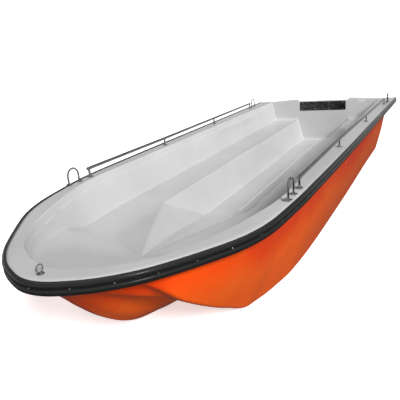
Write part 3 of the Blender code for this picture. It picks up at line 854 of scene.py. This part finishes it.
def liner_rows():
    """Rim points with the matching centreline stations, from the bow to the transom."""
    bow = INNER_CURVE[INNER_CURVE[:, 0] < FAN_END]
    length = curve_length(bow)
    along = np.linspace(0.0, length[-1], FAN_ROWS)
    rim = point_along(bow, length, along)
    meet = FAN_CENTRE + (rim[-1, 0] - FAN_CENTRE) * (along / length[-1]) ** FAN_CROWDING
    channel_ends = [
        np.arange(end - lead, end - lead + CHANNEL_ROW_SPAN, CHANNEL_ROW_PITCH)
        for end, lead in zip(CHANNEL_STATIONS, CHANNEL_ROW_LEADS)
    ]
    sole = np.arange(SOLE_ROWS_START, CHANNEL_STATIONS[1] - CHANNEL_ROW_GAP, SOLE_ROW_PITCH)
    stern = np.linspace(TRANSOM_INNER - TRANSOM_ROWS_RUN, TRANSOM_INNER, TRANSOM_ROWS)
    stations = np.concatenate([np.arange(*WELL_ROWS), np.sort(np.concatenate([sole, *channel_ends])), stern])
    straight_rim = np.stack([stations, inner_x(stations)], 1)
    return np.concatenate([rim, straight_rim]), np.concatenate([meet, stations])


def cap_height(x, depth):
    """The transom cap's top, rounded over at its inner and outer edges."""
    edge = np.clip(1.0 - depth / CAP_ROUND, 0.0, 1.0)
    return GUNWALE_Z + shoulder_z(x) - CAP_ROUND * (1 - math.sqrt(1 - edge ** 2))


def make_liner():
    rim, centre = liner_rows()
    bands = [np.linspace(low, high, count, endpoint=False) for low, high, count in COLUMN_BANDS]
    fractions = np.concatenate([*bands, [1.0]])
    station = rim[:, 0:1] + (centre[:, None] - rim[:, 0:1]) * fractions
    x = rim[:, 1:2] * (1 - fractions)
    depth = cockpit_z(x, station, rim_distance(x, station))
    back = np.clip((TRANSOM_FILLET - (TRANSOM_INNER - station)) / TRANSOM_FILLET, 0.0, 1.0)
    lift = TRANSOM_FILLET * (1 - np.sqrt(np.maximum(1 - back ** 2, 0.0)))
    z = deck_z(station) + np.minimum(depth + lift, 0.0)
    half = Shape()
    half.grid(np.stack([x, world_y(station), z], 2))
    transom_rows(half, x[-1], z[-1])
    flange_rows(half)
    both = Shape()
    both.mesh(half.points, half.faces)
    both.mesh([(-px, py, pz) for px, py, pz in half.points], [face[::-1] for face in half.faces])
    finished(both.made("liner_shell", crease=30.0, distance=0.00015), WHITE, "white_gelcoat", "liner")


def transom_rows(shape, foot_x, foot_z):
    """The transom's inner face up from the cockpit's last row, its cap and the notch's end face."""
    columns = np.unique(np.concatenate([foot_x, [NOTCH_HALF + out for out in NOTCH_COLUMNS]]))
    foot = np.interp(columns, foot_x[::-1], foot_z[::-1])
    top = np.array([cap_height(c, 0.0) for c in columns])
    rise = np.linspace(0.0, 1.0, TRANSOM_FACE_ROWS)
    inner_y = world_y(TRANSOM_INNER)
    shape.grid([[(c, inner_y, f + (t - f) * k) for k in rise] for c, f, t in zip(columns, foot, top)])
    # The cap: its inner edge follows the rim and its outer edge stops short in the notch
    rim_end = float(inner_x(TRANSOM_INNER))
    breadth = float(outer_x(FLANGE_END))
    beyond_rim = np.linspace(rim_end, breadth, CAP_SIDE_COLUMNS)[1:]
    spans = (
        (np.append(columns[columns < NOTCH_HALF], NOTCH_HALF), NOTCH_STATION),
        (np.append(columns[columns >= NOTCH_HALF], beyond_rim), FLANGE_END),
    )
    for across, outer in spans:
        rows = []
        for c in across:
            inner = TRANSOM_INNER + max(c - rim_end, 0.0) / (breadth - rim_end) * (FLANGE_END - TRANSOM_INNER)
            inner_edge = np.linspace(inner, min(inner + CAP_ROUND, outer), CAP_EDGE_POINTS)
            outer_edge = np.linspace(outer - CAP_ROUND, outer, CAP_EDGE_POINTS)
            row = []
            for s in np.concatenate([inner_edge, outer_edge]):
                inner_depth = s - inner if c < rim_end else CAP_ROUND
                row.append((c, world_y(max(s, inner)), cap_height(c, min(inner_depth, max(outer - s, 0.0)))))
            row.append((c, world_y(outer), GUNWALE_Z - LINER_FLANGE))
            rows.append(row)
        shape.grid(rows)
    cheek = np.linspace(NOTCH_STATION, FLANGE_END, CHEEK_COLUMNS)
    drops = (LINER_FLANGE, CAP_ROUND, 0.0)
    shape.grid([[(NOTCH_HALF, world_y(s), GUNWALE_Z - drop) for s in cheek] for drop in drops])


def flange_rows(shape):
    """The deck flange between the liner's rim and its crowned outer edge."""
    outer_length, inner_length = curve_length(OUTER_CURVE), curve_length(INNER_CURVE)
    rows = []
    for t in np.linspace(0.0, 1.0, FLANGE_ROWS):
        edge = point_along(OUTER_CURVE, outer_length, t * outer_length[-1])
        rim = point_along(INNER_CURVE, inner_length, t * inner_length[-1])
        width = np.linalg.norm(edge - rim)
        row = []
        for reach in (FLANGE_UNDERLAP, 0.0):
            place = edge + (rim - edge) / width * reach
            row.append((place[1], world_y(place[0]), float(deck_z(place[0])) - LINER_FLANGE))
        for share in np.linspace(0.0, 1.0, FLANGE_COLUMNS):
            place = edge + (rim - edge) * share
            crown = FLANGE_CROWN * max(1 - share * width / FLANGE_CROWN_WIDTH, 0.0) ** 2
            row.append((place[1], world_y(place[0]), float(deck_z(place[0])) - crown))
        rows.append(row)
    shape.grid(rows)


# Rub rail


def rail_path():
    """Plan points of the flange's edge from the starboard quarter around the bow to port."""
    port = [(breadth, station) for station, breadth in OUTER_CURVE]
    return np.array([(-x, s) for x, s in reversed(port[1:])] + port)


def rail_point(place, outward, out, up):
    """A point of the rail, at a reach and a height from a plan point of the flange's edge."""
    x, station = place[0] + outward[0] * out, place[1] + outward[1] * out
    return x, world_y(station), float(deck_z(place[1])) + up


def make_rub_rail():
    path = rail_path()
    along = np.gradient(path, axis=0)
    along /= np.linalg.norm(along, axis=1)[:, None]
    outward = np.stack([along[:, 1], -along[:, 0]], 1)
    rail = Shape()
    rail.grid(
        [[rail_point(p, o, *corner) for corner in RAIL_PROFILE] for p, o in zip(path, outward)],
        closed=True, caps=True,
    )
    finished(rail.made("rub_rail_extrusion", crease=40.0), RUBBER, "black_rubber", "rub_rail")
    screws = Shape()
    length = curve_length(path)
    half = length[-1] / 2
    count = int(half / RAIL_SCREW_PITCH)
    for index in range(-count, count + 1):
        travel = half + index * RAIL_SCREW_PITCH
        if not RAIL_END_MARGIN < travel < length[-1] - RAIL_END_MARGIN:
            continue
        place = point_along(path, length, travel)
        out = point_along(outward, length, travel)
        axis = np.array((out[0], out[1], 0.0)) / math.hypot(*out)
        seat = rail_point(place, out, RAIL_GROOVE[0] - RAIL_SCREW_SINK, RAIL_GROOVE[1])
        screws.screw(seat, axis, RAIL_SCREW_RADIUS)
    finished(screws.made("rub_rail_screws"), SCREW_STEEL, "stainless")


# Stainless fittings


def make_handrail(side, name):
    seats = np.array(POST_SEATS)
    run = np.linspace(seats[0, 0] - HANDRAIL_END, seats[-1, 0] + HANDRAIL_END, HANDRAIL_POINTS)
    breadth = np.interp(run, seats[:, 0], seats[:, 1])
    breadth[0], breadth[-1] = seats[0, 1], seats[-1, 1]
    path = [(side * b, world_y(s), GUNWALE_Z + HANDRAIL_Z) for s, b in zip(run, breadth)]
    # Domed ends
    fore, aft = path[0], path[-1]
    turns = quarter_turn(6)
    depths = [HANDRAIL_DOME * (1 - math.sin(turn)) for turn in turns]
    start = [(fore[0], fore[1] + depth, fore[2]) for depth in reversed(depths)]
    stop = [(aft[0], aft[1] - depth, aft[2]) for depth in depths]
    path[0] = (fore[0], fore[1] + HANDRAIL_DOME, fore[2])
    path[-1] = (aft[0], aft[1] - HANDRAIL_DOME, aft[2])
    ends = [HANDRAIL_RADIUS * math.cos(turn) for turn in turns]
    rail = Shape()
    rail.tube(start + path + stop, ends[::-1] + [HANDRAIL_RADIUS] * len(path) + ends, segments=24)
    for station, half_breadth in POST_SEATS:
        seat = (side * half_breadth, world_y(station), GUNWALE_Z + HANDRAIL_Z - HANDRAIL_RADIUS)
        rail.lathe(HANDRAIL_COLLAR, seat)
    node = f"handrail_{name}"
    finished(rail.made(f"{node}_tube"), POLISHED, "stainless", node)


def make_post(side, name, number, station, half_breadth):
    post = Shape()
    centre = np.array((side * half_breadth, world_y(station), GUNWALE_Z + GAP))
    post.lathe(POST_PROFILE, centre, segments=32)
    for angle in np.radians(POST_SCREW_ANGLES):
        seat = (math.cos(angle) * POST_SCREW_CIRCLE, math.sin(angle) * POST_SCREW_CIRCLE, POST_SCREW_Z)
        post.screw(centre + seat, (0, 0, 1), POST_SCREW_RADIUS)
    node = f"handrail_post_{name}_{number}"
    finished(post.made(f"{node}_turned"), POLISHED, "stainless", node)


def make_lifting_bolt(side, name, end_name, station, half_breadth):
    half = LIFTING_SPACING / 2
    foot = GUNWALE_Z + FOOT_HEIGHT + 2 * GAP
    spring = GUNWALE_Z + LIFTING_TOP - LIFTING_RADIUS - half
    leg = [foot + step for step in LIFTING_LEG_STEPS] + [spring - LIFTING_LEG_END]
    arch = [(-half, up) for up in leg]
    turns = np.linspace(0.0, math.pi, LIFTING_ARCH_POINTS)
    arch += [(-half * math.cos(turn), spring + half * math.sin(turn)) for turn in turns]
    arch += [(half, up) for up in reversed(leg)]
    bolt = Shape()
    path = [(side * half_breadth, world_y(station) + along, up) for along, up in arch]
    bolt.tube(path, [LIFTING_RADIUS] * len(path))
    for along in (-half, half):
        bolt.lathe(LIFTING_COLLAR, (side * half_breadth, world_y(station) + along, foot), segments=24)
    node = f"lifting_bolt_{end_name}_{name}"
    finished(bolt.made(f"{node}_bar"), POLISHED, "stainless", node)
    for along, leg_name in ((-half, "fore"), (half, "aft")):
        plate = Shape()
        centre = np.array((side * half_breadth, world_y(station) + along, GUNWALE_Z + GAP))
        plate.plate(FOOT_WIDTH / 2, FOOT_LENGTH / 2, FOOT_CORNER, FOOT_HEIGHT, FOOT_EDGE, centre)
        for out in (-FOOT_SCREW_X, FOOT_SCREW_X):
            plate.screw(centre + (out, 0, FOOT_HEIGHT - FOOT_SCREW_SINK), (0, 0, 1), FOOT_SCREW_RADIUS)
        node = f"lifting_foot_{end_name}_{name}_{leg_name}"
        finished(plate.made(f"{node}_plate"), POLISHED, "stainless", node)


def make_bow_eye():
    base = float(deck_z(BOW_EYE_STATION)) + GAP
    centre = np.array((0.0, world_y(BOW_EYE_STATION), base))
    plate = Shape()
    plate.lathe(BOW_EYE_PLATE_PROFILE, centre, segments=40)
    for out in (-BOW_EYE_SCREW_X, BOW_EYE_SCREW_X):
        plate.screw(centre + (out, 0, BOW_EYE_SCREW_Z), (0, 0, 1), BOW_EYE_SCREW_RADIUS)
    finished(plate.made("bow_eye_base"), POLISHED, "stainless", "bow_eye_plate")
    ring = Shape()
    seat = centre + (0, 0, BOW_EYE_PLATE_HEIGHT + GAP)
    middle = seat + (0, 0, BOW_EYE_MAJOR + BOW_EYE_MINOR)
    rows = []
    for turn in np.linspace(0.0, 2 * math.pi, BOW_EYE_RING_POINTS):
        spoke = np.array((0.0, math.cos(turn), math.sin(turn)))
        row = []
        for angle in np.linspace(0.0, 2 * math.pi, BOW_EYE_BAR_SIDES, endpoint=False):
            reach = BOW_EYE_MAJOR + BOW_EYE_MINOR * math.cos(angle)
            row.append(middle + spoke * reach + (BOW_EYE_MINOR * math.sin(angle), 0, 0))
        rows.append(row)
    ring.grid(rows, closed=True)
    ring.lathe(BOW_EYE_FOOT, seat, segments=24)
    finished(ring.made("bow_eye_hoop"), POLISHED, "stainless", "bow_eye_ring")


def make_motor_plates():
    middle = GUNWALE_Z - PLATE_TOP_DROP - PLATE_HEIGHT / 2
    faces = (("inner", world_y(TRANSOM_INNER) - GAP, -1), ("outer", world_y(NOTCH_STATION) + GAP, 1))
    for name, y, way in faces:
        place, axis = (0.0, y, middle), (0, way, 0)
        plate = Shape()
        plate.plate(PLATE_HALF, PLATE_HEIGHT / 2, PLATE_CORNER, PLATE_THICKNESS, PLATE_EDGE, place, axis)
        node = f"motor_plate_{name}"
        finished(plate.made(f"{node}_sheet"), PLATE_STEEL, "stainless", node)
        bolts = Shape()
        bolt_y = y + way * (PLATE_THICKNESS - PLATE_BOLT_SINK)
        for x in PLATE_BOLT_X:
            for up in PLATE_BOLT_UP:
                bolts.screw((x, bolt_y, middle + up), axis, PLATE_BOLT_RADIUS)
        finished(bolts.made(f"{node}_bolts"), SCREW_STEEL, "stainless")


def make_label():
    """The blank film on the transom's inner face beside the motor plate."""
    label = Shape()
    place = (LABEL_X, world_y(TRANSOM_INNER) + LABEL_BED, LABEL_Z)
    label.plate(*LABEL_HALF_SIZE, LABEL_CORNER, LABEL_THICKNESS, LABEL_EDGE, place, (0, -1, 0))
    finished(label.made("blank_label"), LABEL, "white_gelcoat")


make_hull()
make_liner()
make_rub_rail()
for side, side_name in ((1, "port"), (-1, "starboard")):
    make_handrail(side, side_name)
    for number, seat in enumerate(POST_SEATS, start=1):
        make_post(side, side_name, number, *seat)
    for bolt_seat in LIFTING_SEATS:
        make_lifting_bolt(side, side_name, *bolt_seat)
make_bow_eye()
make_motor_plates()
make_label()


# Camera, floor and light


def make_camera():
    data = bpy.data.cameras.new("camera")
    data.lens = CAMERA_LENS
    data.sensor_width = CAMERA_SENSOR
    data.clip_start, data.clip_end = CAMERA_CLIP
    camera = link(bpy.data.objects.new("camera", data))
    yaw, pitch, roll = (math.radians(v) for v in (CAMERA_YAW, CAMERA_PITCH, CAMERA_ROLL))
    back = Vector((math.sin(yaw) * math.cos(pitch), -math.cos(yaw) * math.cos(pitch), math.sin(pitch)))
    right = (-back).cross(Vector((0, 0, 1))).normalized()
    up = right.cross(-back)
    turned_right = right * math.cos(roll) + up * math.sin(roll)
    turned_up = up * math.cos(roll) - right * math.sin(roll)
    camera.matrix_world = Matrix.Translation(CAMERA_PLACE) @ Matrix(
        (turned_right, turned_up, back)
    ).transposed().to_4x4()
    bpy.context.scene.camera = camera


def make_floor():
    floor = Shape()
    edges = (-FLOOR_HALF, FLOOR_HALF)
    floor.grid([[(x, y, FLOOR_Z) for x in edges] for y in edges])
    obj = floor.made("studio_floor")
    n = Nodes("studio_floor_paint")
    n.join(n.mix(n.noise(1.5), (0.88, 0.88, 0.88), (0.90, 0.90, 0.90)), n.shader.inputs["Base Color"])
    n.set(roughness=0.9, emission_color=(1.0, 1.0, 1.0, 1.0), emission_strength=FLOOR_GLOW)
    obj.data.materials.append(n.material)
    # White ground in the picture that doesn't wash out the hull's colour
    obj.visible_glossy = False
    obj.visible_diffuse = False


def make_sun(name, direction, strength, spread, in_gloss):
    """A distant soft light that either shades the surfaces or shows in their gloss."""
    data = bpy.data.lights.new(name, "SUN")
    data.energy = strength
    data.angle = math.radians(spread)
    light = link(bpy.data.objects.new(name, data))
    light.location = Vector(direction) * LIGHT_DISTANCE
    light.visible_glossy = in_gloss
    light.visible_diffuse = not in_gloss
    light.rotation_mode = "QUATERNION"
    light.rotation_quaternion = Vector(direction).to_track_quat("Z", "Y")


def band_ramp(tree, height, bands):
    """The colour of the studio's bands at a height from 0, straight down, to 1, straight up."""
    ramp = tree.nodes.new("ShaderNodeValToRGB")
    tree.links.new(height, ramp.inputs["Fac"])
    elements = ramp.color_ramp.elements
    stops = [(place, (grey, grey, blue, 1.0)) for place, grey, blue in bands]
    elements[0].position, elements[0].color = stops[0]
    elements[1].position, elements[1].color = stops[-1]
    for place, colour in stops[1:-1]:
        elements.new(place).color = colour
    return ramp.outputs["Color"]


def mixed(tree, factor, base):
    """A mix that is base where the factor is 0: its socket for the other colour, and its result."""
    mix = tree.nodes.new("ShaderNodeMix")
    mix.data_type = "RGBA"
    tree.links.new(factor, mix.inputs["Factor"])
    tree.links.new(base, mix.inputs[MIX_A])
    return mix.inputs[MIX_B], mix.outputs[MIX_RESULT]


def make_world():
    """A white backdrop, and around it a studio that is bright along the horizon: one set of bands
    lights the boat and one, dark below the horizon, shows in its gloss."""
    world = bpy.data.worlds.new("studio_world")
    world.use_nodes = True
    tree = world.node_tree
    place = tree.nodes.new("ShaderNodeTexCoord")
    split = tree.nodes.new("ShaderNodeSeparateXYZ")
    scale = tree.nodes.new("ShaderNodeMapRange")
    scale.inputs["From Min"].default_value = -1.0
    tree.links.new(place.outputs["Generated"], split.inputs["Vector"])
    tree.links.new(split.outputs["Z"], scale.inputs["Value"])
    height = scale.outputs["Result"]
    rays = tree.nodes.new("ShaderNodeLightPath")
    mirrored, studio = mixed(tree, rays.outputs["Is Glossy Ray"], band_ramp(tree, height, STUDIO_LIGHT))
    tree.links.new(band_ramp(tree, height, STUDIO_MIRROR), mirrored)
    seen, colour = mixed(tree, rays.outputs["Is Camera Ray"], studio)
    seen.default_value = (1.0, 1.0, 1.0, 1.0)
    tree.links.new(colour, tree.nodes["Background"].inputs["Color"])
    bpy.context.scene.world = world


make_camera()
make_floor()
make_world()
make_sun("key", KEY_DIRECTION, KEY_STRENGTH, KEY_SPREAD, in_gloss=False)
make_sun("glint", KEY_DIRECTION, GLINT_STRENGTH, GLINT_SPREAD, in_gloss=True)
make_sun("low_fill", FILL_DIRECTION, FILL_STRENGTH, FILL_SPREAD, in_gloss=False)

bpy.context.scene.view_settings.view_transform = "Standard"
